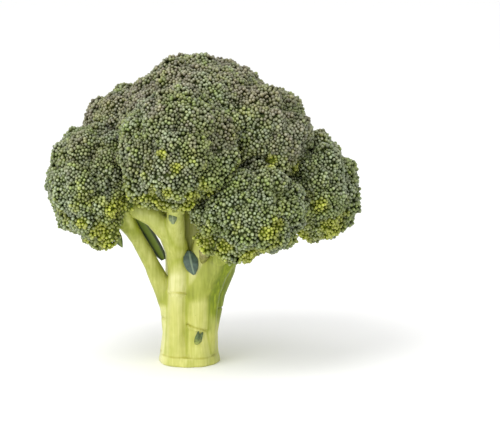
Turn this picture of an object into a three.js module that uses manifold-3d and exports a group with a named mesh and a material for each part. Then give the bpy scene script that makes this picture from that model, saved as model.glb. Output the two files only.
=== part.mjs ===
// A broccoli head standing on its cut stem, as separate pieces: the main stem, a stalk and a bud
// head for each floret, and the few small leaves on the stem.
// Millimetres, +Z up the stem, +X to the right, -Y to the front; the origin is the centre of the cut face.
import * as THREE from "three";
import { mergeVertices } from "three/addons/utils/BufferGeometryUtils.js";
import Module from "manifold-3d";

const wasm = await Module();
wasm.setup();

// Gap between pieces that touch, and how far a stalk runs into its bud head.
const clearance = 0.3;
const socketDepth = 6;

// Main stem: outline radii and the heights at which they lie.
const cutFaceRadius = 15.4;
const rimHeight = 5;
const waistRadius = 14.5;
const waistHeight = 17;
const shoulderRadius = 16;
const shoulderHeight = 35;
const topRadius = 8;
const stemHeight = 76;

// Crown: the florets point away from a hub on the stem's axis, and the highest domes touch a sphere round it.
const hubX = 4;
const hubDrop = 6; // below the stem's top
const crownRadius = 90;

// Each floret. heading turns from +X towards +Y and lean tips from +Z, in degrees. spread is the angle
// from the bud head's middle to its edge as seen from the hub, and dome its depth above the widest ring.
// inset is how far the dome's top stays inside the crown's sphere. drop is how far below the stem's top
// the stalk leaves it, stalk is its radius and bow, where the usual one doesn't suit, is how far its
// middle curves upward.
const florets = [
  { name: "top", heading: 37, lean: 5, spread: 38, dome: 40, inset: 0, drop: 4, stalk: 7.5, bow: 0 },
  { name: "left_high", heading: 153, lean: 40, spread: 20.5, dome: 22, inset: 4, drop: 18, stalk: 4, bow: -7 },
  { name: "front_high", heading: 258, lean: 43, spread: 27.5, dome: 27, inset: 3, drop: 22, stalk: 4.8 },
  { name: "right_high", heading: 337, lean: 34, spread: 23, dome: 23, inset: 3, drop: 24, stalk: 4.4 },
  { name: "back_right_high", heading: 40, lean: 44, spread: 22.5, dome: 23, inset: 4, drop: 26, stalk: 4.2 },
  { name: "back_high", heading: 96, lean: 40, spread: 26, dome: 26, inset: 4, drop: 24, stalk: 4.6 },
  { name: "left_low", heading: 197, lean: 67, spread: 29, dome: 25, inset: 8, drop: 50, stalk: 4.3 },
  { name: "front_right_low", heading: 305, lean: 71, spread: 30, dome: 24, inset: 14, drop: 40, stalk: 4.8 },
  { name: "right_low", heading: 358, lean: 71, spread: 25, dome: 22, inset: 6, drop: 42, stalk: 4.2 },
  { name: "back_right_low", heading: 46, lean: 71, spread: 25, dome: 24, inset: 8, drop: 44, stalk: 4.2 },
  { name: "back_low", heading: 94, lean: 74, spread: 26, dome: 24, inset: 11, drop: 42, stalk: 4.2 },
  { name: "back_left_low", heading: 143, lean: 69, spread: 27.5, dome: 26, inset: 6, drop: 46, stalk: 4.2 },
];

// Bud head underside: its depth below the widest ring and the half width of the collar round the stalk.
const undersideDepth = 19;
const collarRadius = 11;

// Distance of a stalk's foot from the stem's axis, and the usual rise of its middle above a straight line.
const forkInset = 7;
const usualBow = 4;

// Small leaves and stubs on the stem and stalks.
const leafThickness = 1;
const stemLeaf = { length: 12, width: 8, x: 1.5, drop: 18 };
const bract = { length: 5.5, width: 4, along: 0.5 };
const sideLeaf = { length: 14, width: 6, along: 0.72 };
const strapLeaf = { halfWidth: 3.4, halfThickness: 1, drop: 26, tipX: -25, tipY: 9, rise: 23 };
const budSize = { halfWidth: 2.8, halfDepth: 2.2, halfHeight: 3.6, x: 5, z: 14 };
const stub = { radius: 2.4, length: 8, x: 8.5, drop: 19, tilt: 35 };

// How finely round shapes are divided.
const stemSides = 32;
const headSides = 20;
const domeRings = 5;
const stalkSides = 10;
const stalkSteps = 6;

const radians = THREE.MathUtils.degToRad;
const up = new THREE.Vector3(0, 0, 1);
const hub = new THREE.Vector3(hubX, 0, stemHeight - hubDrop);

// A closed geometry as a solid that can be cut and joined.
function solidFrom(geometry) {
  geometry.deleteAttribute("normal");
  geometry.deleteAttribute("uv");
  const merged = mergeVertices(geometry, 1e-3);
  return new wasm.Manifold(
    new wasm.Mesh({
      numProp: 3,
      vertProperties: merged.attributes.position.array,
      triVerts: new Uint32Array(merged.index.array),
    }),
  );
}

function geometryFrom(solid) {
  const mesh = solid.getMesh();
  const geometry = new THREE.BufferGeometry();
  geometry.setAttribute("position", new THREE.BufferAttribute(mesh.vertProperties, 3));
  geometry.setIndex(new THREE.BufferAttribute(mesh.triVerts, 1));
  geometry.computeVertexNormals();
  return geometry;
}

// A profile of [radius, height] pairs turned round the Z axis.
function turned(profile, sides) {
  const points = profile.map(([radius, height]) => new THREE.Vector2(radius, height));
  return new THREE.LatheGeometry(points, sides).rotateX(Math.PI / 2);
}

// The stem's outline from the cut face up to the round top.
const stemOutline = [
  [cutFaceRadius, 0],
  [cutFaceRadius, rimHeight],
  [waistRadius, rimHeight + 3],
  [waistRadius, waistHeight],
  [shoulderRadius, shoulderHeight],
  [(shoulderRadius + topRadius) / 2 + 1, (shoulderHeight + stemHeight) / 2],
  [topRadius, stemHeight - 3],
  [topRadius - 2, stemHeight],
];

function stemRadiusAt(height) {
  const above = stemOutline.findIndex(([, z]) => z > height);
  const [r1, z1] = stemOutline[above];
  const [r0, z0] = stemOutline[above - 1];
  return THREE.MathUtils.mapLinear(height, z0, z1, r0, r1);
}

function stemSolid(grow = 0) {
  const sides = stemOutline.map(([radius, height]) => [radius + grow, height]);
  const profile = [[0, -grow], [cutFaceRadius + grow, -grow], ...sides];
  profile.push([topRadius - 2 + grow, stemHeight + grow], [0, stemHeight + grow]);
  const unique = profile.filter(([r, z], i) => i === 0 || r !== profile[i - 1][0] || z !== profile[i - 1][1]);
  return solidFrom(turned(unique, stemSides));
}

// Direction of a floret from the hub.
function axisOf({ heading, lean }) {
  const flat = Math.sin(radians(lean));
  return new THREE.Vector3(
    flat * Math.cos(radians(heading)),
    flat * Math.sin(radians(heading)),
    Math.cos(radians(lean)),
  );
}

// Distance from the hub to a bud head's widest ring.
function reachOf({ inset, dome }) {
  return crownRadius - inset - dome;
}

function centreOf(floret) {
  return hub.clone().addScaledVector(axisOf(floret), reachOf(floret));
}

// Half width of a bud head at its widest ring.
function radiusOf(floret) {
  return reachOf(floret) * Math.tan(radians(floret.spread));
}

// Distance from a bud head's centre to its surface, seen in a given direction.
function radiusToward(floret, direction) {
  const along = direction.dot(axisOf(floret));
  const depth = along > 0 ? floret.dome : undersideDepth;
  const across = Math.sqrt(1 - along * along);
  return 1 / Math.hypot(along / depth, across / radiusOf(floret));
}

// A dome over a shallow cone that narrows to the stalk.
function headSolid(floret) {
  const { dome } = floret;
  const radius = radiusOf(floret);
  const profile = [
    [0, -undersideDepth],
    [collarRadius, -undersideDepth],
    [radius * 0.8, -undersideDepth * 0.6],
    [radius * 0.95, -undersideDepth * 0.3],
  ];
  for (let ring = 0; ring < domeRings; ring++) {
    const angle = (ring / domeRings) * (Math.PI / 2);
    profile.push([radius * Math.cos(angle), dome * Math.sin(angle)]);
  }
  profile.push([0, dome]);
  const turn = new THREE.Quaternion().setFromUnitVectors(up, axisOf(floret));
  const centre = centreOf(floret);
  return solidFrom(turned(profile, headSides).applyQuaternion(turn).translate(centre.x, centre.y, centre.z));
}

// The crease between two neighbouring bud heads is a plane; this is everything beyond it, as a block.
function beyondCrease(floret, neighbour) {
  const centre = centreOf(floret);
  const across = centreOf(neighbour).sub(centre);
  const distance = across.length();
  across.normalize();
  const mine = radiusToward(floret, across);
  const theirs = radiusToward(neighbour, across.clone().negate());
  const crease = (distance + (mine * mine - theirs * theirs) / distance) / 2;
  const size = 4 * Math.max(radiusOf(floret), floret.dome);
  const middle = centre.addScaledVector(across, crease - clearance / 2 + size / 2);
  const turn = new THREE.Quaternion().setFromUnitVectors(up, across);
  const block = new THREE.BoxGeometry(size, size, size);
  return solidFrom(block.applyQuaternion(turn).translate(middle.x, middle.y, middle.z));
}

function near(floret, neighbour) {
  const distance = centreOf(floret).distanceTo(centreOf(neighbour));
  return distance < radiusOf(floret) + radiusOf(neighbour) + clearance;
}

// A stalk runs from a foot inside the stem to the socket in its bud head.
function stalkPath(floret) {
  const { drop, stalk, bow = usualBow } = floret;
  const fork = stemHeight - drop;
  const axis = axisOf(floret);
  const outward = new THREE.Vector3(axis.x, axis.y, 0).normalize();
  const inset = Math.min(forkInset, Math.max(0, stemRadiusAt(fork) - stalk));
  const foot = outward.multiplyScalar(inset).setZ(fork);
  const head = centreOf(floret).addScaledVector(axis, socketDepth - undersideDepth);
  const middle = foot.clone().lerp(head, 0.5).addScaledVector(up, bow);
  return new THREE.QuadraticBezierCurve3(foot, middle, head);
}

function stalkSolid(floret, grow = 0) {
  const path = stalkPath(floret);
  const start = path.getPoint(0).addScaledVector(path.getTangent(0), -grow);
  const end = path.getPoint(1).addScaledVector(path.getTangent(1), grow);
  const section = new THREE.Shape().absarc(0, 0, floret.stalk + grow, 0, 2 * Math.PI);
  return solidFrom(
    new THREE.ExtrudeGeometry(section, {
      steps: stalkSteps,
      curveSegments: stalkSides / 2,
      bevelEnabled: false,
      extrudePath: new THREE.QuadraticBezierCurve3(start, path.v1, end),
    }),
  );
}

// A flat pointed leaf that hangs down from the origin, facing -Y.
function leafGeometry({ length, width }) {
  const outline = new THREE.Shape()
    .moveTo(0, 0)
    .bezierCurveTo(width * 0.65, -length * 0.15, width * 0.6, -length * 0.7, 0, -length)
    .bezierCurveTo(-width * 0.6, -length * 0.7, -width * 0.65, -length * 0.15, 0, 0);
  const options = { depth: leafThickness, curveSegments: 6, bevelEnabled: false };
  return new THREE.ExtrudeGeometry(outline, options).rotateX(Math.PI / 2);
}

function stemLeafSolid() {
  const { x, drop, length } = stemLeaf;
  const top = stemHeight - drop;
  const back = -stemRadiusAt(top - length / 2) + clearance;
  return solidFrom(leafGeometry(stemLeaf).translate(x, back, top));
}

// A leaf that grows from the front of a floret's stalk, turned by the given angle in its own plane.
function stalkLeafSolid(leaf, floretName, turn) {
  const floret = florets.find(({ name }) => name === floretName);
  const spot = stalkPath(floret).getPoint(leaf.along);
  const front = spot.y - floret.stalk + clearance;
  return solidFrom(leafGeometry(leaf).rotateY(radians(turn)).translate(spot.x, front, spot.z));
}

function strapLeafSolid() {
  const { halfWidth, halfThickness, drop, tipX, tipY, rise } = strapLeaf;
  const footZ = stemHeight - drop;
  const foot = new THREE.Vector3(-stemRadiusAt(footZ) + halfThickness, tipY / 2, footZ);
  const tip = new THREE.Vector3(tipX, tipY, footZ + rise);
  const bend = new THREE.Vector3(tipX, tipY, footZ + 4);
  const section = new THREE.Shape().absellipse(0, 0, halfThickness, halfWidth, 0, 2 * Math.PI);
  return solidFrom(
    new THREE.ExtrudeGeometry(section, {
      steps: stalkSteps,
      curveSegments: stalkSides / 2,
      bevelEnabled: false,
      extrudePath: new THREE.QuadraticBezierCurve3(foot, bend, tip),
    }),
  );
}

function axillaryBudSolid() {
  const { halfWidth, halfDepth, halfHeight, x, z } = budSize;
  const y = -Math.sqrt(stemRadiusAt(z) ** 2 - x ** 2);
  const ball = new THREE.SphereGeometry(1, 14, 10).rotateX(Math.PI / 2);
  return solidFrom(ball.scale(halfWidth, halfDepth, halfHeight).translate(x, y, z));
}

// The short foot of a leaf that was trimmed off, pointing up and to the front.
function petioleStubSolid() {
  const { radius, length, x, drop, tilt } = stub;
  const z = stemHeight - drop;
  const y = -Math.sqrt(stemRadiusAt(z) ** 2 - x ** 2);
  const rod = new THREE.CylinderGeometry(radius, radius, length, stalkSides);
  return solidFrom(rod.rotateX(radians(90 - tilt)).translate(x, y, z));
}

const stemGreen = new THREE.MeshStandardMaterial({ color: 0xc9d085, roughness: 0.5, metalness: 0 });
const stalkGreen = new THREE.MeshStandardMaterial({ color: 0xa9b661, roughness: 0.5, metalness: 0 });
const budGreen = new THREE.MeshStandardMaterial({ color: 0x66714a, roughness: 0.85, metalness: 0 });
const leafGreen = new THREE.MeshStandardMaterial({ color: 0x5f7a5c, roughness: 0.6, metalness: 0 });
const scarBrown = new THREE.MeshStandardMaterial({ color: 0x9a8f5a, roughness: 0.7, metalness: 0 });

const head = new THREE.Group();

function addPiece(name, solid, material) {
  const mesh = new THREE.Mesh(geometryFrom(solid), material);
  mesh.name = name;
  head.add(mesh);
}

function without(solid, others) {
  return others.reduce((rest, other) => rest.subtract(other), solid);
}

addPiece("main_stem", stemSolid(), stemGreen);

// Everything a later piece keeps clear of, enlarged by the clearance.
const taken = [stemSolid(clearance)];

for (const floret of florets) {
  addPiece("stalk_" + floret.name, without(stalkSolid(floret), taken), stalkGreen);
  taken.push(stalkSolid(floret, clearance));
}

for (const floret of florets) {
  const neighbours = florets.filter((other) => other !== floret && near(floret, other));
  const creases = neighbours.map((other) => beyondCrease(floret, other));
  addPiece("floret_" + floret.name, without(headSolid(floret), [...creases, ...taken]), budGreen);
}

addPiece("stem_leaf", without(stemLeafSolid(), taken), leafGreen);
addPiece("strap_leaf", without(strapLeafSolid(), taken), leafGreen);
addPiece("side_leaf", without(stalkLeafSolid(sideLeaf, "left_low", 60), taken), leafGreen);
addPiece("stalk_bract", without(stalkLeafSolid(bract, "front_high", 0), taken), leafGreen);
addPiece("petiole_stub", without(petioleStubSolid(), taken), scarBrown);
addPiece("axillary_bud", without(axillaryBudSolid(), taken), stemGreen);

export default head;
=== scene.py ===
"""The looks of the broccoli head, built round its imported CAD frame: bud heads, stalks, stem and leaves."""
import math

import bpy
import numpy as np
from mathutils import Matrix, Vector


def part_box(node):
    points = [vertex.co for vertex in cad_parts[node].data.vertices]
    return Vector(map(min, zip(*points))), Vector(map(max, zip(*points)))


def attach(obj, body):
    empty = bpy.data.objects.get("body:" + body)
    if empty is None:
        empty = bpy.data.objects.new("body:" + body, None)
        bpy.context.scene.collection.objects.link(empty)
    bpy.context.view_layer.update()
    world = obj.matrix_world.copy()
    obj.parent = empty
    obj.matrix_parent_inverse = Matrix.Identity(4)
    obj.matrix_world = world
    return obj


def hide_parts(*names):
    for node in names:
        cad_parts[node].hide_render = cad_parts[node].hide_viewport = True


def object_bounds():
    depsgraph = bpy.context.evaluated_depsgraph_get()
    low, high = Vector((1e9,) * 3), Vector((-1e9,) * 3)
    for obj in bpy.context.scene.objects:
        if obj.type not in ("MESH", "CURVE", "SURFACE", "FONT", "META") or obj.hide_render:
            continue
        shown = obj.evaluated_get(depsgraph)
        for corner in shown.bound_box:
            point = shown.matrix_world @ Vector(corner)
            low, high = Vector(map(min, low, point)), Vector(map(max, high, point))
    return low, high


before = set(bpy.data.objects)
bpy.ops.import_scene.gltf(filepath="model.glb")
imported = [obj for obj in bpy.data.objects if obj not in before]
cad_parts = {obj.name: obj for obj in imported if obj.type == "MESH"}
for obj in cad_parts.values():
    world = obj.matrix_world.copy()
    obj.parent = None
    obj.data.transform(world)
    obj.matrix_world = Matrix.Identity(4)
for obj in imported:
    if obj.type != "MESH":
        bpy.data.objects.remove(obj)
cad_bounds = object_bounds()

import openvdb
from mathutils import Vector
from mathutils.kdtree import KDTree

# Shapes are worked out in millimetres and written to the meshes in metres.
MM = 0.001

# Flower buds: distance between neighbours, and a bud's half width and half length as shares of it.
BUD_PITCH = 1.8
BUD_WIDTH, BUD_LENGTH = 0.56, 0.8
# How much buds differ in size and length, how far they lean, and how far they stand out in millimetres.
SIZE_SPREAD, LENGTH_SPREAD, LEAN_SPREAD, STAND_SPREAD = 0.11, 0.12, 0.13, 0.2

# The shape of one bud, with its middle at 0 and its tip at 1: height and half width of each ring.
BUD_SIDES = 6
BUD_RINGS = ((-0.55, 0.62), (0.0, 1.0), (0.45, 0.92), (0.8, 0.6))
BUD_FOOT = -0.75
# On the surface map, how far each ring lies from the middle of its bud's square.
MAP_RINGS = (0.37, 0.29, 0.20, 0.12)
MAP_FOOT = 0.66  # the foot's point is drawn outside the widest ring there, once for each side

# Lumps of a bud head: spacing across the surface, how uneven they are, and how far they rise.
LARGE_LUMP, LARGE_UNEVEN, LARGE_RISE = 18.0, 0.35, 4.2
SMALL_LUMP, SMALL_UNEVEN, SMALL_RISE = 9.0, 0.3, 1.8
CLUSTER, CLUSTER_UNEVEN, CLUSTER_RISE = 4.6, 0.3, 1.3
LUMP_WIDTH = 0.62  # as a share of the spacing
LUMP_LEVEL, CLUSTER_LEVEL = 0.8, 0.75  # the height of a lump that lies on the head's even shape
SWAY_SIZE, SWAY_RISE = 14, 0.8  # slow ups and downs of the whole surface
FRINGE_SIZE, FRINGE_RISE = 4.5, 2.0  # the lower edge of a head is more ragged than its top
FRINGE_START, UNDER_START = math.radians(70), math.radians(105)  # angles off the head's axis
UNDER_FLAT = 0.4  # how much flatter a head is underneath
RIM_ANGLE = math.radians(118)  # from the head's axis to the edge of its buds
RAGGED_ANGLE, RAGGED_SIZE = math.radians(15), 5.5  # how far that edge strays, over how many millimetres
CORE_DEPTH = 1.3  # the ground between the buds, painted dark as the shade in their gaps, lies this far below their middles

# How each bud head differs from its CAD solid: its middle moves and its half sizes grow, in millimetres.
FLORETS = {
    "top": ((-1, -4, -7), (1, 8, 8)),
    "left_high": ((5, 0, -1.5), (2, 1, 1)),
    "front_high": ((0, 3, 0), (-1, 2, 1)),
    "right_high": ((-0.8, 0, -3.5), (1, 2, 0)),
    "back_right_high": ((-4, 0, -2), (3, 1, 1)),
    "back_high": ((0, -1, 0), (2, 3, 2)),
    "left_low": ((2.6, 0, 3.5), (1, 0, 1)),
    "front_right_low": ((-2, 3.5, -1), (2, 0, -3.5)),
    "right_low": ((-0.3, 0, 0.3), (1.2, 0, 0.5)),
    "back_right_low": ((0, 0, 1), (1, 1, 2)),
    "back_low": ((0, -1, 1), (2, 2, 2)),
    "back_left_low": ((0, 0, 3), (2, 2, 1)),
}

# Single swellings: head, direction, rise in millimetres (negative for a hollow) and width in degrees.
SWELLINGS = [
    ("top", (-0.5, -0.2, 0.85), -1.0, 25),
    ("top", (0.45, -0.1, 0.88), -3.8, 26),
    ("front_high", (-0.55, -0.5, -0.65), 4.5, 28),
    ("front_high", (0.45, -0.5, -0.7), 2.0, 28),
    ("left_low", (-0.8, -0.3, -0.5), -3.0, 26),
    ("left_low", (0.25, -0.4, -0.85), 3.5, 25),
    ("left_low", (-0.7, -0.2, 0.6), 1.5, 28),
    ("front_right_low", (0.6, -0.5, -0.6), 2.5, 25),
    ("front_right_low", (-0.8, -0.3, -0.5), 3.5, 28),
    ("front_right_low", (-0.45, -0.3, 0.85), -4.5, 30),
    ("right_low", (0.75, -0.3, -0.55), 0.5, 25),
    ("right_low", (0.85, -0.3, 0.3), -1.5, 30),
    ("right_low", (-0.3, -0.4, -0.85), -3.0, 25),
]

# Patches of young yellow-green buds on the front of the heads: x, z and radius in millimetres.
FRESH_PATCHES = [
    (-43.7, 76, 5.0), (-36.9, 86.5, 4.5), (-41, 67, 4.0), (-52, 80, 3.0),
    (-11.4, 118, 2.3), (-4.7, 111.5, 2.8), (3.0, 96.5, 3.6), (-9, 99, 3.0),
    (42.6, 111, 3.2), (45.2, 82, 3.5), (39.5, 78, 4.0), (31.7, 65, 5.0), (20, 70, 3.5),
    (73, 74.5, 6.0), (67, 87, 4.0), (58, 68, 4.0),
]

# How far the crease between two heads is filled, in millimetres; the rest meet in a sharp crease.
SHARP_CREASE = 1.5
SOFT_CREASES = {
    ("top", "left_high"): 15,
    ("top", "front_high"): 18,
    ("top", "right_high"): 15,
    ("top", "back_high"): 13,
    ("top", "back_right_high"): 15,
    ("front_high", "right_high"): 15,
    ("left_high", "front_high"): 11,
    ("left_high", "left_low"): 9,
    ("right_high", "right_low"): 6,
    ("back_high", "back_low"): 8,
    ("back_right_high", "back_right_low"): 10,
    ("back_right_high", "right_high"): 11,
    ("left_high", "back_left_low"): 9,
}

# Pale patches with a strong bloom on the front of the crown: x, z and radius in millimetres.
PALE_PATCHES = [(-41, 123.5, 5), (3, 149, 6), (-20, 140, 5.5), (56, 124, 4.5), (-8, 128, 4)]

# Multipliers that scatter the corners of a noise's cells, and its seed.
HASH_X, HASH_Y, HASH_Z, HASH_SEED, HASH_MIX = 374761393, 668265263, 2147483647, 974634777, 1274126177
HASH_BITS = 0xFFFFFFFF

rng = np.random.default_rng(39)


# ---- small tools

def unit(vectors):
    vectors = np.asarray(vectors, float)
    return vectors / np.maximum(np.linalg.norm(vectors, axis=-1, keepdims=True), 1e-12)


def smooth_step(low, high, values):
    t = np.clip((values - low) / (high - low), 0, 1)
    return t * t * (3 - 2 * t)


def angle_from(axis, directions):
    return np.arccos(np.clip(directions @ axis, -1, 1))


def turns(count):
    """Angles spread evenly round a circle."""
    return np.arange(count) * 2 * math.pi / count


def value_noise(points, size, seed):
    """Smooth random values from -1 to 1 that change over the given size."""
    cell = points / size
    corner = np.floor(cell).astype(np.int64)
    t = cell - corner
    t = t * t * (3 - 2 * t)
    total = np.zeros(len(points))
    for dx, dy, dz in np.ndindex(2, 2, 2):
        x, y, z = (corner + (dx, dy, dz)).T
        h = (x * HASH_X + y * HASH_Y + z * HASH_Z + seed * HASH_SEED) & HASH_BITS
        h = ((h ^ (h >> 13)) * HASH_MIX) & HASH_BITS
        h = (h ^ (h >> 16)) & 0xFFFF
        share = np.abs(1 - dx - t[:, 0]) * np.abs(1 - dy - t[:, 1]) * np.abs(1 - dz - t[:, 2])
        total += share * (h / 32767.5 - 1)
    return total


def spiral_directions(count):
    """Directions spread evenly over a sphere by the golden angle."""
    turn = np.arange(count) * math.pi * (3 - math.sqrt(5))
    height = 1 - (2 * np.arange(count) + 1) / count
    flat = np.sqrt(1 - height**2)
    return np.stack([flat * np.cos(turn), flat * np.sin(turn), height], axis=1)


def box_mm(node):
    """The box round a CAD node, in millimetres."""
    low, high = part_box(node)
    return np.array(low) / MM, np.array(high) / MM


def node_points(node):
    """The corner points of a CAD node, in millimetres."""
    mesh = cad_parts[node].data
    points = np.empty(len(mesh.vertices) * 3, np.float32)
    mesh.vertices.foreach_get("co", points)
    return points.reshape(-1, 3).astype(float) / MM


def add_object(name, data):
    made = bpy.data.objects.new(name, data)
    bpy.context.scene.collection.objects.link(made)
    return made


def make_mesh(name, points, faces, material, attributes):
    """A smooth-shaded object from points in millimetres, arrays of faces and values for each point."""
    mesh = bpy.data.meshes.new(name)
    mesh.vertices.add(len(points))
    mesh.vertices.foreach_set("co", (np.asarray(points) * MM).astype(np.float32).ravel())
    sizes = np.concatenate([np.full(len(f), f.shape[1]) for f in faces])
    corners = np.concatenate([np.asarray(f).ravel() for f in faces])
    mesh.loops.add(len(corners))
    mesh.loops.foreach_set("vertex_index", corners.astype(np.int32))
    mesh.polygons.add(len(sizes))
    mesh.polygons.foreach_set("loop_start", (np.cumsum(sizes) - sizes).astype(np.int32))
    mesh.polygons.foreach_set("loop_total", sizes.astype(np.int32))
    mesh.polygons.foreach_set("use_smooth", np.ones(len(sizes), bool))
    for key, values in attributes.items():
        made = mesh.attributes.new(key, "FLOAT", "POINT")
        made.data.foreach_set("value", np.asarray(values, np.float32))
    mesh.materials.append(material)
    mesh.update(calc_edges=True)
    return add_object(name, mesh)


# ---- bud heads

def domes(directions, middles, sizes, angle):
    """Height from about 0 in the creases to 1 on top of round lumps packed side by side."""
    steep = 2 / angle**2
    return 1 - steep + ((directions @ middles.T) * steep + sizes).max(axis=1)


class Head:
    """The surface of a bud head: an ellipsoid with lumps, flatter underneath."""

    def __init__(self, name, shift, grow, seed):
        low, high = box_mm("floret_" + name)
        self.name = name
        self.rng = np.random.default_rng(seed)
        self.centre = (low + high) / 2 + shift
        self.half = (high - low) / 2 + grow
        self.size = float(self.half.mean())
        self.axis = unit(self.centre - HUB)
        self.lumps = [
            self.scatter(LARGE_LUMP, LARGE_UNEVEN),
            self.scatter(SMALL_LUMP, SMALL_UNEVEN),
            self.scatter(CLUSTER, CLUSTER_UNEVEN),
        ]
        self.swellings = [row[1:] for row in SWELLINGS if row[0] == name]
        self.seed = seed
        self.others = []

    def scatter(self, spacing, uneven):
        """Lumps spread over the head: their directions, how much larger each is, and their width."""
        count = max(12, round(4 * math.pi * self.size**2 / spacing**2))
        turn = np.linalg.qr(self.rng.normal(size=(3, 3)))[0]
        angle = spacing / self.size
        stray = self.rng.normal(scale=uneven * angle * 0.5, size=(count, 3))
        middles = unit(spiral_directions(count) @ turn + stray)
        return middles, self.rng.uniform(-uneven, uneven, count), angle * LUMP_WIDTH

    def reach(self, directions):
        """Share of the ellipsoid's radius at which the surface lies in each direction."""
        large = domes(directions, *self.lumps[0])
        small = domes(directions, *self.lumps[1])
        sway = value_noise(directions * self.size + 50, SWAY_SIZE, self.seed)
        rise = LARGE_RISE * (large - LUMP_LEVEL) + SMALL_RISE * (small - LUMP_LEVEL) + SWAY_RISE * sway
        for middle, height, width in self.swellings:
            away = angle_from(unit(middle), directions)
            rise = rise + height * np.exp(-((away / math.radians(width)) ** 2))
        off_axis = angle_from(self.axis, directions)
        fringe = value_noise(directions * self.size + 90, FRINGE_SIZE, self.seed + 1)
        rise = rise + FRINGE_RISE * fringe * smooth_step(FRINGE_START, UNDER_START, off_axis)
        under = 1 - UNDER_FLAT * smooth_step(UNDER_START, math.pi, off_axis)
        return (1 + rise / self.size) * under

    def clusters(self, directions):
        """How far the buds of a small cluster stand out of the surface, in millimetres."""
        return CLUSTER_RISE * (domes(directions, *self.lumps[2]) - CLUSTER_LEVEL)

    def surface(self, directions, inset=0.0):
        """Points of the surface, raised where a neighbouring head fills the crease between them."""
        points = self.centre + self.half * directions * self.reach(directions)[:, None]
        rise = np.zeros(len(points))
        for other, width in self.others:
            near = np.maximum(1 - np.abs(other.depth(points)) / width, 0)
            rise = np.maximum(rise, near**2 * width / 4)
        return points + unit(points - self.centre) * (rise - inset)[:, None]

    def depth(self, points):
        """About how far points lie inside the surface, in millimetres; negative outside."""
        scaled = (points - self.centre) / self.half
        length = np.linalg.norm(scaled, axis=1)
        return (self.reach(scaled / np.maximum(length, 1e-9)[:, None]) - length) * self.size

    def normals(self, points):
        """Directions straight out of the surface, from how the depth changes over a small step."""
        step = 0.3
        slope = [self.depth(points - e) - self.depth(points + e) for e in np.eye(3) * step]
        return unit(np.stack(slope, axis=1))


def spread_evenly(head, directions, rounds):
    """Pushes neighbouring buds apart, so that they come to lie about one pitch from each other."""
    neighbours, nearest, strength = 6, 0.2, 0.35
    for _ in range(rounds):
        points = head.surface(directions)
        tree = KDTree(len(points))
        for i, point in enumerate(points):
            tree.insert(point, i)
        tree.balance()
        push = np.zeros_like(points)
        for i, point in enumerate(points):
            for other, _, distance in tree.find_n(point, neighbours)[1:]:
                if distance < BUD_PITCH:
                    too_close = BUD_PITCH / max(distance, nearest) - 1
                    push[i] += (point - np.array(other)) * too_close * strength
        directions = unit((points + push - head.centre) / head.half)
    return directions


def bud_places(head):
    """Where the buds of one head stand: their middles, and their directions from the head's centre."""
    lumpy = 1.06  # a lumpy surface is this much larger than an even one
    packing = 0.866  # the surface that a bud takes up, as a share of its pitch squared
    stray, edge, buried = 0.3, 0.06, 0.7  # in pitches, radians and millimetres
    area = 4 * math.pi * head.size**2 * lumpy
    count = round(area / (packing * BUD_PITCH**2))
    directions = spiral_directions(count)
    moved = head.rng.normal(scale=stray * BUD_PITCH / head.size, size=directions.shape)
    directions = unit(directions + moved)
    ragged = RAGGED_ANGLE * value_noise(directions * head.size, RAGGED_SIZE, head.seed + 3)
    directions = directions[angle_from(head.axis, directions) < RIM_ANGLE + ragged + edge]
    directions = spread_evenly(head, directions, 3)
    points = head.surface(directions)
    own = head.depth(points)
    shown = np.ones(len(points), bool)
    for other, _ in head.others:
        shown &= other.depth(points) < own + buried
    return points[shown], directions[shown]


def bud_template():
    """One bud as rings round its length: points, each point's height share, triangles and quads."""
    points = [(0, 0, BUD_FOOT)]
    for height, width in BUD_RINGS:
        points += [(width * math.cos(a), width * math.sin(a), height) for a in turns(BUD_SIDES)]
    points.append((0, 0, 1))
    points = np.array(points)
    here = np.arange(BUD_SIDES)
    ahead = (here + 1) % BUD_SIDES
    quads = []
    for ring in range(len(BUD_RINGS) - 1):
        low, high = 1 + ring * BUD_SIDES, 1 + (ring + 1) * BUD_SIDES
        quads.append(np.stack([low + here, low + ahead, high + ahead, high + here], axis=1))
    last = 1 + (len(BUD_RINGS) - 1) * BUD_SIDES
    bottom = np.stack([np.zeros(BUD_SIDES, int), 1 + ahead, 1 + here], axis=1)
    top = np.stack([last + here, last + ahead, np.full(BUD_SIDES, len(points) - 1)], axis=1)
    height = (points[:, 2] - BUD_FOOT) / (1 - BUD_FOOT)
    return points, height, np.concatenate([bottom, top]), np.concatenate(quads)


def bud_map(triangles, quads, count):
    """Each corner's place on the surface map: every bud has its own square, with its tip in the middle."""
    flat = [(0, 0)]
    for radius in MAP_RINGS:
        flat += [(radius * math.cos(a), radius * math.sin(a)) for a in turns(BUD_SIDES)]
    flat = np.array(flat + [(0, 0)])
    ends, sides = flat[triangles], flat[quads]
    foot = triangles[:, 0] == 0
    ends[foot, 0] = (ends[foot, 1] + ends[foot, 2]) * MAP_FOOT
    across = math.ceil(math.sqrt(count))
    middle = (np.stack(np.divmod(np.arange(count), across), axis=1) + 0.5)[:, None, None]
    places = [((corners[None] + middle) / across).reshape(-1, 2) for corners in (ends, sides)]
    return np.concatenate(places)


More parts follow.
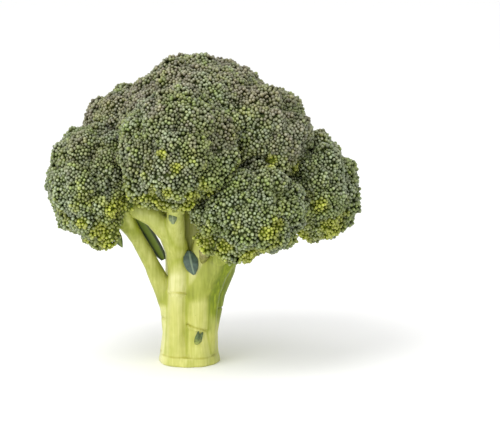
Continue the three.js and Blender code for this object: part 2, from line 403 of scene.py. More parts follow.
def make_buds(head, material):
    """All the buds of one head as one piece."""
    places, directions = bud_places(head)
    count = len(places)
    lean = head.rng.normal(scale=LEAN_SPREAD, size=(count, 3))
    outward = unit(0.6 * head.normals(places) + 0.4 * directions + lean)
    across = unit(np.cross(outward, head.rng.normal(size=(count, 3))))
    beside = np.cross(outward, across)
    fresh = freshness(head, places, directions)
    size = BUD_PITCH * head.rng.normal(1, SIZE_SPREAD, count).clip(0.7, 1.25) * (1 - 0.06 * fresh)
    width = size * BUD_WIDTH
    length = size * BUD_LENGTH * head.rng.normal(1, LENGTH_SPREAD, count).clip(0.75, 1.35)
    stand_out = head.clusters(directions) + head.rng.normal(0, STAND_SPREAD, count)
    places = places + outward * stand_out[:, None]
    template, height, triangles, quads = bud_template()
    points = (
        places[:, None]
        + template[None, :, 0:1] * (across * width[:, None])[:, None]
        + template[None, :, 1:2] * (beside * width[:, None])[:, None]
        + template[None, :, 2:3] * (outward * length[:, None])[:, None]
    )
    start = (np.arange(count) * len(template))[:, None, None]
    faces = [(triangles[None] + start).reshape(-1, 3), (quads[None] + start).reshape(-1, 4)]
    attributes = {
        "height": np.tile(height, count),
        "tone": np.repeat(bloom(head, places), len(template)),
        "shade": np.repeat(head.rng.uniform(0, 1, count), len(template)),
        # painted shade in creases between heads and between lumps
        "hollow": np.repeat(painted_crease_shade(head, places, directions), len(template)),
        "fresh": np.repeat(fresh, len(template)),
        "age": np.repeat(browning(head, places), len(template)),
    }
    piece = make_mesh("buds_" + head.name, points.reshape(-1, 3), faces, material, attributes)
    layer = piece.data.uv_layers.new(name="OFBake")
    layer.uv.foreach_set("vector", bud_map(triangles, quads, count).astype(np.float32).ravel())
    return piece


def freshness(head, places, directions):
    """How yellow-green the buds are: more at a head's lower edge and in a few patches."""
    rim = smooth_step(FRINGE_START, RIM_ANGLE, angle_from(head.axis, directions))
    patch = value_noise(places, 9, head.seed + 7) * 0.55 + value_noise(places, 4.0, head.seed + 8) * 0.55
    low = smooth_step(0.35, -0.7, directions[:, 2])
    strong = smooth_step(0.15, 0.5, patch + 0.35 * rim * low) * (0.2 + 0.7 * low)
    chosen = in_patches(places, FRESH_PATCHES) * (places[:, 1] < head.centre[1])
    own = 0.12 * head.rng.uniform(-1, 1, len(places))
    return np.clip(0.55 * rim * low + 0.8 * strong + chosen + own, 0, 1)


def painted_crease_shade(head, places, directions):
    """Painted shade on a bud: how deep it sits in a crease between two heads, or between the lumps and
    clusters of its own.
    """
    crease = np.zeros(len(places))
    for other, width in head.others:
        near = smooth_step(5.0, 0.5, np.abs(other.depth(places)))
        crease = np.maximum(crease, near * (1.0 if width == SHARP_CREASE else max(0.5 - 0.03 * width, 0)))
    between = [smooth_step(0.75, 0.15, domes(directions, *lumps)) for lumps in head.lumps]
    return np.clip(crease + 0.25 * between[0] + 0.3 * between[1] + 0.3 * between[2], 0, 1)


def browning(head, places):
    """How brownish the buds are: the top of the crown has aged most, in flecks."""
    high = smooth_step(TOP - 80, TOP - 10, places[:, 2])
    flecks = 0.5 * value_noise(places, 18, 5) + 0.45 * value_noise(places, 4, 6)
    return np.clip(high * (0.62 + flecks) + head.rng.uniform(-0.2, 0.2, len(places)), 0, 0.9)


def bloom(head, places):
    """How much bluish bloom the buds carry, in patches and from bud to bud."""
    patches = 0.4 * value_noise(places, 16, 8) + 0.3 * value_noise(places, 5, 9)
    own = 0.22 + 0.55 * head.rng.uniform(0, 1, len(places))
    return np.clip(own + patches + in_patches(places, PALE_PATCHES), 0, 1)


def in_patches(places, patches):
    """1 inside the given patches of the front and 0 outside, with uneven edges."""
    inside = np.zeros(len(places))
    for x, z, radius in patches:
        away = np.hypot(places[:, 0] - x, places[:, 2] - z) / radius
        inside = np.maximum(inside, smooth_step(1.25, 0.55, away + 0.25 * value_noise(places, 2.5, 12)))
    return inside * (places[:, 1] < 0)


def make_core(head, material):
    """The closed ground under a head's buds, whose dark colour is painted shade in the gaps between them."""
    rows, columns = 56, 96
    polar = np.linspace(0, math.pi, rows + 1)[1:-1]
    turn = turns(columns)
    sine, cosine = np.sin(polar)[:, None], np.cos(polar)[:, None]
    ring = np.stack([sine * np.cos(turn), sine * np.sin(turn), cosine + 0 * turn], axis=-1)
    local = np.concatenate([[[0, 0, 1]], ring.reshape(-1, 3), [[0, 0, -1]]])
    tilt = np.array(Vector((0, 0, 1)).rotation_difference(Vector(head.axis)).to_matrix())
    directions = local @ tilt.T
    points = head.surface(directions, CORE_DEPTH)
    points = points + unit(points - head.centre) * np.minimum(head.clusters(directions), 0)[:, None]
    index = 1 + np.arange((rows - 1) * columns).reshape(rows - 1, columns)
    ahead = np.roll(index, -1, axis=1)
    quads = np.stack([index[:-1], index[1:], ahead[1:], ahead[:-1]], axis=-1).reshape(-1, 4)
    last = len(points) - 1
    top = np.stack([np.zeros(columns, int), index[0], ahead[0]], axis=1)
    bottom = np.stack([np.full(columns, last), ahead[-1], index[-1]], axis=1)
    under = smooth_step(RIM_ANGLE - 0.15, RIM_ANGLE + 0.1, angle_from(head.axis, directions))
    attributes = {"under": under, "fresh": freshness(head, points, directions)}
    faces = [np.concatenate([top, bottom]), quads]
    return make_mesh("core_" + head.name, points, faces, material, attributes)


# ---- stem and stalks

TRUNK_GRAIN, BRANCH_GRAIN = 0.5, 0.6  # millimetres between the samples that a skin is drawn through
RIB_BLEND = 2.6  # neighbouring ribs run together over this width


def limb(path, radii):
    """A round limb: a line of points with a radius at each."""
    return np.asarray(path, float), np.asarray(radii, float)


def limb_distance(points, path, radii):
    """Distance from points to a limb's skin, negative inside."""
    nearest = np.full(len(points), 1e3, np.float32)
    for a, b, ra, rb in zip(path[:-1], path[1:], radii[:-1], radii[1:]):
        run = (b - a).astype(np.float32)
        off = points - a.astype(np.float32)
        t = np.clip(off @ run / max(run @ run, 1e-9), 0, 1)
        off -= t[:, None] * run
        distance = np.sqrt(np.einsum("ij,ij->i", off, off)) - (ra + (rb - ra) * t)
        nearest = np.minimum(nearest, distance)
    return nearest


def blend(a, b, width):
    """The smaller of two distances, rounded where they are nearly equal."""
    near = np.maximum(width - np.abs(a - b), 0) / width
    return np.minimum(a, b) - near * near * width / 4


def skin_of(limbs, blend_width, grain, carve=None):
    """Limbs run together: points, quads, how deep points lie in a fold between limbs (the mask for painted
    shade), and how far from each limb.
    """
    low = np.min([(p - r[:, None]).min(axis=0) for p, r in limbs], axis=0) - 2
    high = np.max([(p + r[:, None]).max(axis=0) for p, r in limbs], axis=0) + 2
    low = np.floor(low / grain) * grain
    shape = np.ceil((high - low) / grain).astype(int)
    steps = [low[i] + grain * np.arange(shape[i]) for i in range(3)]
    points = np.stack(np.meshgrid(*steps, indexing="ij"), axis=-1).reshape(-1, 3).astype(np.float32)
    joined = joined_distance(points, limbs, blend_width)
    if carve:
        joined = carve(points, joined)
    grid = openvdb.FloatGrid(2.0)
    grid.copyFromArray(np.clip(joined, -2, 2).reshape(shape).astype(np.float32))
    grid.transform = openvdb.createLinearTransform(voxelSize=grain)
    vertices, quads = grid.convertToQuads(0.0)
    vertices = np.asarray(vertices, float) + low
    apart = np.array([limb_distance(vertices.astype(np.float32), *part) for part in limbs])
    # mask for painted shade in the folds where limbs meet
    fold = np.clip(apart.min(axis=0) / (blend_width / 4), 0, 1)
    return vertices, np.asarray(quads)[:, ::-1], fold, apart


def joined_distance(points, limbs, blend_width):
    """Distance to all the limbs run together; points far from them keep a large value."""
    joined = np.full(len(points), 50, np.float32)
    for path, radii in limbs:
        margin = radii.max() + blend_width + 1
        low, high = path.min(axis=0) - margin, path.max(axis=0) + margin
        near = np.flatnonzero(np.all((points > low) & (points < high), axis=1))
        joined[near] = blend(joined[near], limb_distance(points[near], path, radii), blend_width)
    return joined


class Stalk:
    """A stalk's line and thickness, from its CAD solid or from STALK_LINES, and the head it carries."""

    def __init__(self, head):
        points = node_points("stalk_" + head.name)
        if head.name in STALK_LINES:
            points = np.array(STALK_LINES[head.name][0], float)
        middle = points.mean(axis=0)
        self.axis = np.linalg.svd(points - middle, full_matrices=False)[2][0]
        self.axis *= np.sign(self.axis[2])
        along = (points - middle) @ self.axis
        self.curve = np.polyfit(along, points, 2)
        self.low, self.high = along.min(), along.max()
        self.radius = float(np.median(np.linalg.norm(points - self.at(along), axis=1)))
        if head.name in STALK_LINES:
            self.radius = STALK_LINES[head.name][1]
        self.head = head
        self.green = STALK_GREENS.get(head.name, PLAIN_GREEN)

    def at(self, along):
        """Points of the stalk's middle line, at distances along its axis."""
        along = np.asarray(along, float)[..., None]
        return self.curve[0] * along**2 + self.curve[1] * along + self.curve[2]

    def path(self, start, end, count):
        """Points along the stalk from one share of its length to another."""
        return self.at(self.low + (self.high - self.low) * np.linspace(start, end, count))


def branchlets(stalk, count):
    """Thin branches that leave the stalk's upper part and fan out into the head above it."""
    limbs = []
    count_along = 7
    side = unit(np.cross(stalk.axis, (0.3, 0.5, 0.8)))
    turn = rng.uniform(0, 2 * math.pi)
    for i in range(count):
        angle = turn + 2 * math.pi * (i + rng.uniform(-0.2, 0.2)) / count
        outward = side * math.cos(angle) + np.cross(stalk.axis, side) * math.sin(angle)
        leave = stalk.at(stalk.low + (stalk.high - stalk.low) * rng.uniform(0.62, 0.8))
        reach = stalk.head.half.mean() * rng.uniform(0.62, 0.78)
        end = stalk.head.centre + outward * reach - stalk.axis * stalk.head.half.mean() * 0.12
        bend = (leave + end) / 2 + stalk.axis * 1.5 - outward * 2.5
        t = np.linspace(0, 1, count_along)[:, None]
        path = (1 - t) ** 2 * leave + 2 * t * (1 - t) * bend + t * t * end
        thick = stalk.radius * rng.uniform(0.42, 0.55)
        limbs.append(limb(path, np.linspace(thick * 1.15, thick * 0.6, count_along)))
    return limbs


def make_branch(stalk, material):
    """A stalk with its branchlets, from inside the stem up into its head."""
    count = 9
    radii = stalk.radius * np.interp(np.linspace(0, 1, count), [0, 0.5, 1], [1.0, 0.94, 0.8])
    limbs = [limb(stalk.path(-0.12, 1.0, count), radii)] + branchlets(stalk, 7)
    if stalk.head.name == "front_high":
        limbs.append(limb(*LEFT_SPUR))
    points, quads, fold, _ = skin_of(limbs, RIB_BLEND, BRANCH_GRAIN)
    points = rough_skin(points, quads)
    attributes = stem_attributes(points, fold, np.full(len(points), stalk.green))
    return make_mesh("branch_" + stalk.head.name, points, [quads], material, attributes)


def rough_skin(points, quads, amount=0.35):
    """Moves the skin in and out a little, mostly in bands that run up the stem."""
    a, b, c, d = (points[quads[:, i]] for i in range(4))
    face = np.cross(c - a, d - b)
    normal = np.zeros_like(points)
    for i in range(4):
        np.add.at(normal, quads[:, i], face)
    broad = value_noise(points * (1, 1, 0.35), 6.0, 21)
    fine = value_noise(points * (1, 1, 0.22), 1.9, 22)
    return points + unit(normal) * (amount * broad + amount * 0.2 * fine)[:, None] * (points[:, 2:] > 0.4)


def mixed(apart, values):
    """A value for each point from the limbs nearest to it, faded from one limb to the next."""
    fade = 0.6
    share = np.exp(-(apart - apart.min(axis=0)) / fade)
    return (share * np.array(values)[:, None]).sum(axis=0) / share.sum(axis=0)


def stem_attributes(points, fold, green):
    """What colours the skin: painted shade in folds, height, which brings paler skin and painted light up
    the stalks, scars, and the green, which fades at the foot.
    """
    far = np.linalg.norm(points - (0, 0, 30), axis=1)
    green = green * (0.15 + 0.85 * smooth_step(15, 30, points[:, 2] + 3 * value_noise(points, 6, 33)))
    return {"fold": fold, "up": smooth_step(26, 72, far), "green": green, "scar": scar_marks(points)}


# The ribs that run together in the stem, from its cut face up to the stalks: line, radii and greenness.
RIBS = {
    "left": ([(-8.6, -4.5, 2), (-8.6, -4.5, 14), (-9.8, -4.8, 28), (-12.2, -4.8, 38)],
             (6.0, 4.6, 4.8, 3.9), 0.1),
    "middle": ([(-5.4, -8.5, 2), (-6.0, -9.4, 16), (-5.8, -10.4, 37), (-5.7, -10.8, 39), (-4.9, -11.4, 50),
                (-5.4, -12, 64)], (6.4, 4.9, 4.3, 4.7, 4.4, 4.9), 0.0),
    "right": ([(4.6, -8.6, 2), (4.6, -9.3, 18.8), (4.8, -9.6, 21.2), (5.0, -9.4, 28), (5.5, -9.5, 38),
               (9.0, -11, 47), (12.4, -12.4, 53)], (6.8, 5.0, 5.5, 5.6, 5.7, 5.3, 4.8), 0.08),
    "inner": ([(3.0, -9.8, 40), (4.6, -11.5, 52), (6.6, -12.4, 62), (9.6, -14, 73)],
              (3.8, 4.2, 4.3, 4.0), 0.0),
    "bright": ([(9.8, -5.6, 8), (10.5, -7.6, 20), (11.0, -8.4, 28), (12.2, -9, 38), (15.8, -10.6, 48),
                (20, -12.6, 55)], (4.0, 3.8, 3.7, 3.9, 4.3, 4.2), 1.1),
    "far_right": ([(9, 0, 2), (10, 0, 16), (12.9, 1, 36), (18.5, 1, 48)], (6.3, 5.0, 5.9, 5.0), 1.0),
    "back_right": ([(7.5, 7, 2), (7.5, 7, 16), (9, 8, 36), (12, 11, 50)], (7.8, 6.4, 7.4, 6), 0.3),
    "back": ([(0, 8.5, 2), (0, 8, 16), (0, 9, 36), (0, 13, 50)], (6.8, 6.0, 6.8, 5.6), 0.1),
    "back_left": ([(-8, 6, 2), (-7.6, 6, 16), (-7.6, 7, 34), (-7, 11, 50)], (7.3, 6.2, 6.2, 5), 0.2),
    "core": ([(0, 0, 3), (0, 0, 20), (0, 0, 38), (2.5, 0, 56), (4, 0, 76)], (12, 11, 11.5, 9.5, 8), 0.2),
}
# A short limb that leaves the front stalk to the left: line and radii.
LEFT_SPUR = ([(-5.4, -12.5, 60), (-9.5, -14, 69.5), (-17, -14.5, 78), (-28, -14.5, 83)],
             (5.0, 5.3, 5.0, 4.4))
RIM_HEIGHT, RIM_RADIUS = 4.6, 15.8  # of the flared rim round the cut face
CREAM_RIBS = {"middle": 1.0, "right": 0.7, "inner": 0.8}  # ribs whose skin is creamy halfway up
CREAM_HEIGHT, CREAM_SPREAD = 49, 12
SHEEN_RIBS = {"left": 1.0, "back_left": 1.0}  # ribs painted paler all the way up, as painted sheen along the stem's left side
STALK_GREENS = {"right_low": 0.8, "front_right_low": 0.65, "left_low": 0.3}
PLAIN_GREEN = 0.15  # how green the other stalks are
FOOT_LENGTH, FOOT_SHARE = 17.0, 0.55  # the trunk draws each stalk's foot too, at most so much of it

# Stalks that bend otherwise than their CAD solids: the line they follow, and their radius.
STALK_LINES = {
    "front_high": ([(-4.9, -10, 52), (-6.2, -12.5, 64), (-6.6, -18, 76), (-5, -26, 88),
                    (-3.5, -36, 102)], 4.9),
    "left_low": ([(-13, -5, 39), (-16, -5.5, 46), (-19.4, -6.5, 53), (-23, -8, 60), (-28.3, -10, 71),
                  (-36, -13, 84)], 4.2),
    "front_right_low": ([(7.6, -9.8, 42), (10.6, -11, 48.5), (15, -13.2, 56), (20, -17, 63), (26, -23, 71),
                         (32, -31, 80)], 5.3),
    "back_left_low": ([(-5.5, 9, 42), (-7.5, 13, 52), (-11.5, 18, 62), (-18, 23, 73), (-30, 30, 86)], 4.2),
}


def shape_foot(points, joined):
    """A slightly flared rim at the cut face, and the flat cut itself."""
    x, y, z = points.T
    radius = np.hypot(x, y)
    turn = np.arctan2(y, x)
    uneven = 0.35 * np.sin(3 * turn + 1) + 0.25 * np.sin(7 * turn)
    bulge = RIM_RADIUS - 0.9 * (z / RIM_HEIGHT) ** 2 + uneven
    rim = np.maximum(radius - bulge, z - RIM_HEIGHT - 0.3 * np.sin(2 * turn))
    joined = blend(joined, rim, 0.5)
    near = np.flatnonzero(np.abs(joined) < 2)
    for middle, half, depth in SCARS:
        line = scar_distance(points[near], middle, half)
        joined[near] = np.maximum(joined[near], depth - np.hypot(line, joined[near]))
    return np.maximum(joined, -z)


def scar_marks(points):
    """How strongly each point of the skin is marked by a leaf scar or the edge of the rim."""
    lines = [scar_distance(points, middle, half) for middle, half, _ in SCARS]
    turn = np.arctan2(points[:, 1], points[:, 0])
    lines.append(np.abs(points[:, 2] - RIM_HEIGHT - 0.3 * np.sin(2 * turn) - 0.3))
    return smooth_step(0.8, 0.2, np.min(lines, axis=0)) * (0.6 + 0.4 * value_noise(points, 3, 31))


# Leaf scars across the ribs: middle of each thin groove, its half length and bow or slant, and its depth.
SCARS = [
    ((-6.4, -15, 38.2), (4.8, 1.0), 0.7),
    ((4.4, -14, 20.2), (4.8, -1.6), 0.8),
    ((-13, -7, 24), (2.6, 0.7), 0.6),
    ((4, 14, 30), (5, 0.8), 0.6),
    ((-8, 12, 16), (4, -0.8), 0.55),
    ((14, -2, 28), (4, 0.8), 0.55),
]


def scar_distance(points, middle, half):
    """Distance to a short bowed or slanted line round the stem, leaving the depth out."""
    around = math.atan2(middle[1], middle[0])
    turn = np.arctan2(points[:, 1], points[:, 0]) - around
    along = ((turn + math.pi) % (2 * math.pi) - math.pi) * math.hypot(middle[0], middle[1])
    share = np.clip(along / half[0], -1, 1)
    height = middle[2] + half[1] * (share if abs(half[1]) > 1 else 1 - share**2)
    return np.hypot(points[:, 2] - height, np.maximum(np.abs(along) - half[0], 0))


def make_trunk(stalks, material):
    """The stem: its ribs and the feet of the stalks, run together over a flat cut."""
    limbs = [limb(path, radii) for path, radii, _ in RIBS.values()]
    greens = [green for _, _, green in RIBS.values()]
    creams = [CREAM_RIBS.get(name, 0) for name in RIBS]
    sheens = [SHEEN_RIBS.get(name, 0) for name in RIBS] + [0] * len(stalks)
    for stalk in stalks:
        share = min(FOOT_SHARE, FOOT_LENGTH / (stalk.high - stalk.low))
        path = stalk.path(-0.1, share, 8)
        swell = np.interp(np.linspace(0, 1, 8), [0, 0.45, 0.8, 1], [0.6, 0.5, 0.15, -0.9])
        limbs.append(limb(path, stalk.radius + swell))
        greens.append(stalk.green)
        creams.append(0)
    points, quads, fold, apart = skin_of(limbs, RIB_BLEND, TRUNK_GRAIN, shape_foot)
    points = rough_skin(points, quads)
    # the painted fold shade fades out on the rim
    fold = fold * smooth_step(RIM_HEIGHT - 1, RIM_HEIGHT + 2, points[:, 2])
    attributes = stem_attributes(points, fold, mixed(apart, greens))
    halfway = np.exp(-(((points[:, 2] - CREAM_HEIGHT) / CREAM_SPREAD) ** 2))
    # creamy halfway up some ribs, their own colour, plus painted sheen all the way up the left ribs
    attributes["cream"] = mixed(apart, creams) * halfway + mixed(apart, sheens)
    return make_mesh("trunk", points, [quads], material, attributes)


# ---- leaves

def leaf_sheet(path, widths, across, cup, thickness):
    """A thin closed leaf along a bent line: points, quads and each point's place across the blade."""
    rows, columns = 24, 12
    path, widths, across = (np.asarray(values, float) for values in (path, widths, across))
    stops = np.linspace(0, 1, len(path))
    t = np.linspace(0, 1, rows)
    spine = np.stack([np.polyval(np.polyfit(stops, path[:, i], 2), t) for i in range(3)], axis=1)
    half = np.interp(t, np.linspace(0, 1, len(widths)), widths)
    along = unit(np.gradient(spine, axis=0))
    side = unit(across - (along @ across)[:, None] * along)
    face = np.cross(side, along)
    v = np.linspace(-1, 1, columns)
    ripple = 0.25 * np.sin(9 * t)[:, None] * v**2
    middle = spine[:, None] + side[:, None] * (half[:, None] * v)[..., None]
    middle = middle + face[:, None] * (cup * half[:, None] * v**2 + ripple)[..., None]
    edge = np.sqrt(np.clip(1 - v**6, 0.05, 1))
    skin = face[:, None] * (edge * thickness / 2)[None, :, None]
    points = np.concatenate([(middle + skin).reshape(-1, 3), (middle - skin).reshape(-1, 3)])
    index = np.arange(rows * columns).reshape(rows, columns)
    upper = np.stack([index[:-1, :-1], index[:-1, 1:], index[1:, 1:], index[1:, :-1]], axis=-1)
    upper = upper.reshape(-1, 4)
    lower = upper[:, ::-1] + rows * columns
    border = np.concatenate([index[0], index[1:, -1], index[-1, -2::-1], index[-2:0:-1, 0]])
    ahead = np.roll(border, -1)
    wall = np.stack([border, border + rows * columns, ahead + rows * columns, ahead], axis=1)
    return points, np.concatenate([upper, lower, wall]), {"across": np.tile(np.abs(v), 2 * rows)}


# ---- materials

BLACK, WHITE = (0, 0, 0), (1, 1, 1)


def new_material(name):
    material = bpy.data.materials.new(name)
    material.use_nodes = True
    tree = material.node_tree
    return material, tree, tree.nodes["Principled BSDF"]


def add_node(tree, kind, **settings):
    node = tree.nodes.new(kind)
    for key, value in settings.items():
        setattr(node, key, value)
    return node


def factor_socket(tree, factor):
    """A factor given by the name of a mesh's attribute, as a socket; other factors stay as they are."""
    if isinstance(factor, str):
        return add_node(tree, "ShaderNodeAttribute", attribute_name=factor).outputs["Fac"]
    return factor


def ramp(tree, factor, positions, colours):
    """Colours, as sRGB shares, at positions along a factor."""
    node = add_node(tree, "ShaderNodeValToRGB")
    elements = node.color_ramp.elements
    while len(elements) < len(colours):
        elements.new(0.5)
    for element, position, colour in zip(elements, positions, colours):
        element.position = position
        element.color = (*(srgb(c) for c in colour), 1)
    tree.links.new(factor_socket(tree, factor), node.inputs["Fac"])
    return node.outputs["Color"]


def srgb(value):
    """The linear value of an sRGB share."""
    return value / 12.92 if value <= 0.04045 else ((value + 0.055) / 1.055) ** 2.4


def mix(tree, factor, a, b, mode="MIX"):
    node = add_node(tree, "ShaderNodeMix", data_type="RGBA", blend_type=mode)
    factor = factor_socket(tree, factor)
    for socket, value in ((node.inputs["Factor"], factor), (node.inputs[6], a), (node.inputs[7], b)):
        if isinstance(value, bpy.types.NodeSocket):
            tree.links.new(value, socket)
        elif isinstance(value, (int, float)):
            socket.default_value = value
        else:
            socket.default_value = (*(srgb(c) for c in value), 1)
    return node.outputs[2]


def tint(tree, colour, by, factor=1.0):
    """A colour darkened by another one."""
    return mix(tree, factor, colour, by, "MULTIPLY")


def noise(tree, scale, detail=3.0, stretch=(1, 1, 1)):
    place = add_node(tree, "ShaderNodeTexCoord").outputs["Object"]
    mapping = add_node(tree, "ShaderNodeMapping")
    mapping.inputs["Scale"].default_value = stretch
    tree.links.new(place, mapping.inputs["Vector"])
    node = add_node(tree, "ShaderNodeTexNoise")
    node.inputs["Scale"].default_value = scale
    node.inputs["Detail"].default_value = detail
    tree.links.new(mapping.outputs["Vector"], node.inputs["Vector"])
    return node.outputs["Fac"]


def finish(tree, shader, colour, roughness, specular=0.5):
    tree.links.new(colour, shader.inputs["Base Color"])
    shader.inputs["Roughness"].default_value = roughness
    shader.inputs["Specular IOR Level"].default_value = specular


def bump(tree, shader, factor, strength, distance):
    node = add_node(tree, "ShaderNodeBump")
    node.inputs["Strength"].default_value = strength
    node.inputs["Distance"].default_value = distance
    tree.links.new(factor, node.inputs["Height"])
    tree.links.new(node.outputs["Normal"], shader.inputs["Normal"])


def bud_material():
    """Green buds with a bluish bloom at the tip, yellow-green where young and brownish where aged; painted
    shade at their feet and in creases, and a painted highlight at their tips.
    """
    material, tree, shader = new_material("buds")
    # In every height ramp below, colours darken towards the foot as painted shade where the buds crowd, and
    # pale at the tip, partly bloom and partly painted highlight.
    along = (0.3, 0.66, 0.97)
    green = ramp(tree, "height", along, [(0.18, 0.22, 0.05), (0.40, 0.47, 0.17), (0.60, 0.67, 0.38)])
    blue = ramp(tree, "height", along, [(0.14, 0.18, 0.07), (0.39, 0.45, 0.27), (0.69, 0.74, 0.60)])
    colour = mix(tree, ramp(tree, "tone", (0.35, 0.75), (BLACK, WHITE)), green, blue)
    aged = ramp(tree, "height", along, [(0.19, 0.17, 0.09), (0.43, 0.385, 0.28), (0.65, 0.62, 0.545)])
    colour = mix(tree, "age", colour, aged)
    along = (0.1, 0.6, 0.97)
    young = ramp(tree, "height", along, [(0.40, 0.45, 0.03), (0.60, 0.65, 0.13), (0.78, 0.80, 0.35)])
    colour = mix(tree, "fresh", colour, young)
    colour = tint(tree, colour, ramp(tree, "shade", (0.0, 1.0), [(0.76, 0.76, 0.76), WHITE]))
    # painted shade in creases between heads and between lumps
    colour = tint(tree, colour, ramp(tree, "hollow", (0.0, 1.0), [WHITE, (0.48, 0.48, 0.40)]))
    finish(tree, shader, colour, 0.38)
    bump(tree, shader, noise(tree, 2600, 2), 0.25, 0.0002)
    return material


def core_material():
    """Ground between the buds, painted dark as the shade in their gaps, yellow-green under young ones and
    paler on the underside.
    """
    material, tree, shader = new_material("bud_ground")
    # painted shade: the dark colour seen in the gaps between the buds
    dark = ramp(tree, noise(tree, 500), (0.35, 0.65), [(0.18, 0.21, 0.08), (0.30, 0.36, 0.14)])
    under = ramp(tree, noise(tree, 350), (0.35, 0.65), [(0.36, 0.43, 0.12), (0.58, 0.65, 0.28)])
    young = ramp(tree, noise(tree, 500), (0.35, 0.65), [(0.34, 0.39, 0.02), (0.56, 0.62, 0.10)])
    colour = mix(tree, "fresh", dark, young)
    finish(tree, shader, mix(tree, "under", colour, under), 0.8)
    bump(tree, shader, noise(tree, 900), 0.8, 0.0008)
    return material


def stem_material():
    """Pale yellow-green flesh with lengthwise lines and darker scars, painted shade in the folds, painted
    sheen on the left ribs, and paler up the stalks, partly its own colour and partly painted light under the
    crown.
    """
    material, tree, shader = new_material("stem")
    lines = noise(tree, 900, 3, (1, 1, 0.07))
    along = (0.3, 0.52, 0.75)
    flesh = ramp(tree, lines, along, [(0.735, 0.735, 0.37), (0.775, 0.775, 0.43), (0.825, 0.82, 0.515)])
    cream = ramp(tree, lines, (0.3, 0.7), [(0.83, 0.83, 0.54), (0.90, 0.89, 0.65)])
    upper = ramp(tree, lines, along, [(0.77, 0.79, 0.39), (0.82, 0.84, 0.47), (0.87, 0.88, 0.57)])
    bright = ramp(tree, lines, along, [(0.38, 0.45, 0.00), (0.48, 0.54, 0.03), (0.60, 0.65, 0.11)])
    # paler up the stalks: partly their own paler skin, partly painted light that lifts the shade under the
    # crown
    colour = mix(tree, "up", flesh, upper)
    # creamy skin on some ribs, their own colour, and painted sheen on the left ribs
    colour = mix(tree, "cream", colour, cream)
    colour = mix(tree, "green", colour, bright)
    mottle = ramp(tree, noise(tree, 110, 4), (0.42, 0.7), [WHITE, (0.88, 0.90, 0.74)])
    colour = tint(tree, colour, mottle, 0.8)
    # painted shade in the folds between ribs
    colour = tint(tree, colour, ramp(tree, "fold", (0.2, 0.95), [WHITE, (0.88, 0.90, 0.66)]))
    colour = tint(tree, colour, ramp(tree, "scar", (0.1, 0.9), [WHITE, (0.86, 0.84, 0.60)]))
    specks = ramp(tree, noise(tree, 420, 2), (0.74, 0.80), [WHITE, (0.68, 0.64, 0.42)])
    finish(tree, shader, tint(tree, colour, specks, 0.6), 0.40, 0.35)
    bump(tree, shader, lines, 0.15, 0.0004)
    return material


def leaf_material(name, blade, vein, rib_width):
    """A leaf's mottled blade with a paler midrib."""
    material, tree, shader = new_material(name)
    dark = tuple(c * 0.72 for c in blade)
    ground = ramp(tree, noise(tree, 600), (0.35, 0.7), (dark, blade))
    rib = ramp(tree, "across", (rib_width * 0.5, rib_width), (WHITE, BLACK))
    finish(tree, shader, mix(tree, rib, ground, vein), 0.5)
    bump(tree, shader, noise(tree, 1500), 0.4, 0.0003)
    return material


def growth_material(name, foot, tip):
    """A small growth on the stem that changes from one colour at its foot to another at its tip."""
    material, tree, shader = new_material(name)
    colour = ramp(tree, "tip", (0.1, 0.9), (foot, tip))
    grain = ramp(tree, noise(tree, 900), (0.35, 0.7), [(0.72, 0.72, 0.66), WHITE])
    finish(tree, shader, tint(tree, colour, grain), 0.6)
    bump(tree, shader, noise(tree, 1500), 0.4, 0.0003)
    return material


# ---- the object

STEM_LOW, STEM_HIGH = box_mm("main_stem")
HUB = np.append((STEM_LOW + STEM_HIGH)[:2] / 2, STEM_HIGH[2])  # the heads' axes run from here
TOP = cad_bounds[1][2] / MM


def place(piece, slot, *nodes):
    """Every piece rides on the one body and may stand for CAD nodes; the slot is not used."""
    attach(piece, "root")
    if nodes:
        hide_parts(*nodes)


def make_leaf(name, node, material, path, widths, across, cup, thickness=0.5):
    """A leaf from its midrib's line, its half widths, the way its blade spreads and how much it cups."""
    points, quads, attributes = leaf_sheet(path, widths, across, cup, thickness)
    place(make_mesh(name, points, [quads], material, attributes), "leaf", node)


def make_leaves():
    blue = leaf_material("blue_leaf", (0.33, 0.42, 0.36), (0.50, 0.57, 0.47), 0.16)
    dark = leaf_material("dark_leaf", (0.33, 0.42, 0.17), (0.50, 0.56, 0.26), 0.5)
    strap_green = leaf_material("strap_leaf", (0.20, 0.27, 0.05), (0.46, 0.55, 0.12), 0.6)
    pale = leaf_material("pale_leaf", (0.58, 0.65, 0.46), (0.72, 0.76, 0.60), 0.13)
    hanging = [(0.5, -15.4, 61), (1.8, -18.4, 55.0), (3.2, -17.2, 49.0)]
    widths = (1.2, 3.3, 3.8, 3.7, 3.3, 2.6, 0.9)
    make_leaf("leaf_stem", "stem_leaf", blue, hanging, widths, (1, 0.1, 0.1), 0.25)
    strap = [(-27, 7, 76), (-19.6, 5, 65), (-12.9, 3.5, 53.0)]
    widths = (2.6, 3.2, 3.4, 3.4, 3.4, 3.4, 3.3, 3.1, 2.7, 1.3)
    make_leaf("leaf_strap", "strap_leaf", strap_green, strap, widths, (0.8, -0.3, 0.4), -0.35, 0.8)
    side = [(-37.5, -12.4, 73), (-36, -13.8, 68), (-33.5, -13.8, 62.5)]
    make_leaf("leaf_side", "side_leaf", dark, side, (1.0, 1.8, 2.2, 2.2, 1.6, 0.3), (1, 0.2, 0.4), 0.3)
    bract = [(-7.8, -23.4, 83), (-7.4, -26.0, 80), (-7.2, -25.4, 76.6)]
    make_leaf("leaf_bract", "stalk_bract", pale, bract, (1.2, 2.0, 2.2, 1.9, 0.8), (1, 0, 0.2), 0.3)


def make_growth(name, node, slot, material, skin, tip_range):
    """A small growth from its skin, with the heights between which its colour changes."""
    points, quads = skin
    tip = smooth_step(*tip_range, points[:, 2])
    place(make_mesh(name, points, [quads], material, {"tip": tip}), slot, node)


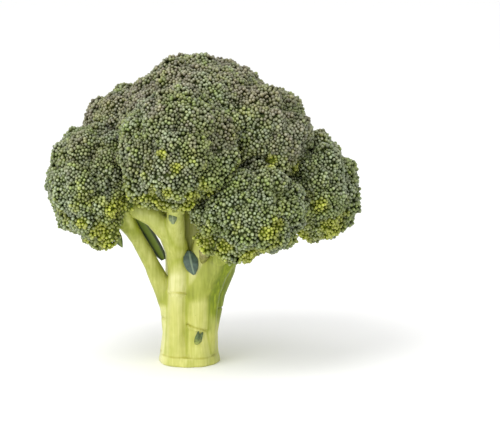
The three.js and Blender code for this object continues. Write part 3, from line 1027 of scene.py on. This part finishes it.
def make_small_growths():
    """The brownish foot of a trimmed leaf and the bud in the angle of a leaf scar."""
    brown = growth_material("trimmed_foot", (0.60, 0.60, 0.28), (0.70, 0.67, 0.42))
    foot = [
        limb([(7.6, -12.6, 54), (7.9, -15.6, 57.5), (7.0, -16.6, 61)], (2.3, 2.0, 1.3)),
        limb([(8.2, -14.6, 56.5), (10.6, -16.4, 59.8)], (1.5, 0.8)),
        limb([(7.9, -15.4, 57), (8.8, -17.0, 61.5)], (1.4, 0.7)),
    ]
    points, quads, _, _ = skin_of(foot, 1.5, 0.3)
    make_growth("foot", "petiole_stub", "scar", brown, (rough_skin(points, quads, 0.25), quads), (55, 61))
    green = growth_material("side_bud", (0.62, 0.67, 0.34), (0.38, 0.46, 0.26))
    bud = [
        limb([(4.4, -14.2, 13.2), (4.7, -15.2, 15.5), (5.2, -15.4, 18.8)], (1.5, 1.4, 0.4)),
        limb([(5.8, -14.2, 14), (7.2, -14.9, 18)], (1.2, 0.6)),
    ]
    points, quads, _, _ = skin_of(bud, 1.0, 0.25)
    make_growth("side_bud", "axillary_bud", "leaf", green, (points, quads), (12, 16.5))


def introduce(heads):
    """Tells every head how it meets each of the others."""
    for head in heads:
        for other in heads:
            if other is not head:
                width = SOFT_CREASES.get((head.name, other.name), SHARP_CREASE)
                head.others.append((other, SOFT_CREASES.get((other.name, head.name), width)))


heads = [Head(name, *change, 11 + 7 * i) for i, (name, change) in enumerate(FLORETS.items())]
introduce(heads)
stalks = [Stalk(head) for head in heads]
buds_finish, core_finish, stem_finish = bud_material(), core_material(), stem_material()
for head in heads:
    place(make_buds(head, buds_finish), "buds", "floret_" + head.name)
    place(make_core(head, core_finish), "buds")
for stalk in stalks:
    place(make_branch(stalk, stem_finish), "stalk", "stalk_" + stalk.head.name)
place(make_trunk(stalks, stem_finish), "stem", "main_stem")
make_leaves()
make_small_growths()


# ---- studio

def make_floor():
    mesh = bpy.data.meshes.new("floor")
    side = 6.0  # metres from the middle to each edge
    corners = [(-side, -side, 0), (side, -side, 0), (side, side, 0), (-side, side, 0)]
    mesh.from_pydata(corners, [], [(0, 1, 2, 3)])
    material, _, shader = new_material("floor")
    shader.inputs["Base Color"].default_value = (0.98, 0.98, 0.976, 1)
    shader.inputs["Roughness"].default_value = 0.9
    mesh.materials.append(material)
    floor = add_object("floor", mesh)


def add_light(name, position, target, size, power):
    """A round light that faces the target; its size in metres and its power in watts."""
    data = bpy.data.lights.new(name, "AREA")
    data.shape, data.size, data.energy = "DISK", size, power
    light = add_object(name, data)
    light.location = position
    light.rotation_euler = (Vector(target) - Vector(position)).to_track_quat("-Z", "Y").to_euler()


def make_studio():
    """A white surround with one soft light from above the left and a weaker one from the front."""
    world = bpy.data.worlds.new("studio")
    world.use_nodes = True
    background = world.node_tree.nodes["Background"]
    background.inputs["Color"].default_value = (1, 1, 1, 1)
    background.inputs["Strength"].default_value = 1.0
    bpy.context.scene.world = world
    middle = (0, 0, 0.09)
    add_light("key", (-0.5, -0.6, 1.0), middle, size=0.8, power=7.5)
    add_light("fill", (-0.5, -1.2, 0.2), middle, size=1.0, power=4.0)
    bpy.context.scene.view_settings.view_transform = "Standard"


def make_camera():
    """Looks as the photograph does: from the front and a little above, with a long lens."""
    distance, tilt = 1.4, math.radians(9.5)
    view_width = 0.26  # metres across the frame at the head
    right, rise = 0.0317, 0.0749  # from the base's middle to the middle of the frame
    forward = Vector((0, math.cos(tilt), -math.sin(tilt)))
    upward = Vector((0, math.sin(tilt), math.cos(tilt)))
    data = bpy.data.cameras.new("camera")
    data.lens = data.sensor_width * distance / view_width
    camera = add_object("camera", data)
    camera.location = Vector((right, 0, 0)) + upward * rise - forward * distance
    camera.rotation_euler = (math.pi / 2 - tilt, 0, 0)
    bpy.context.scene.camera = camera


make_floor()
make_studio()
make_camera()
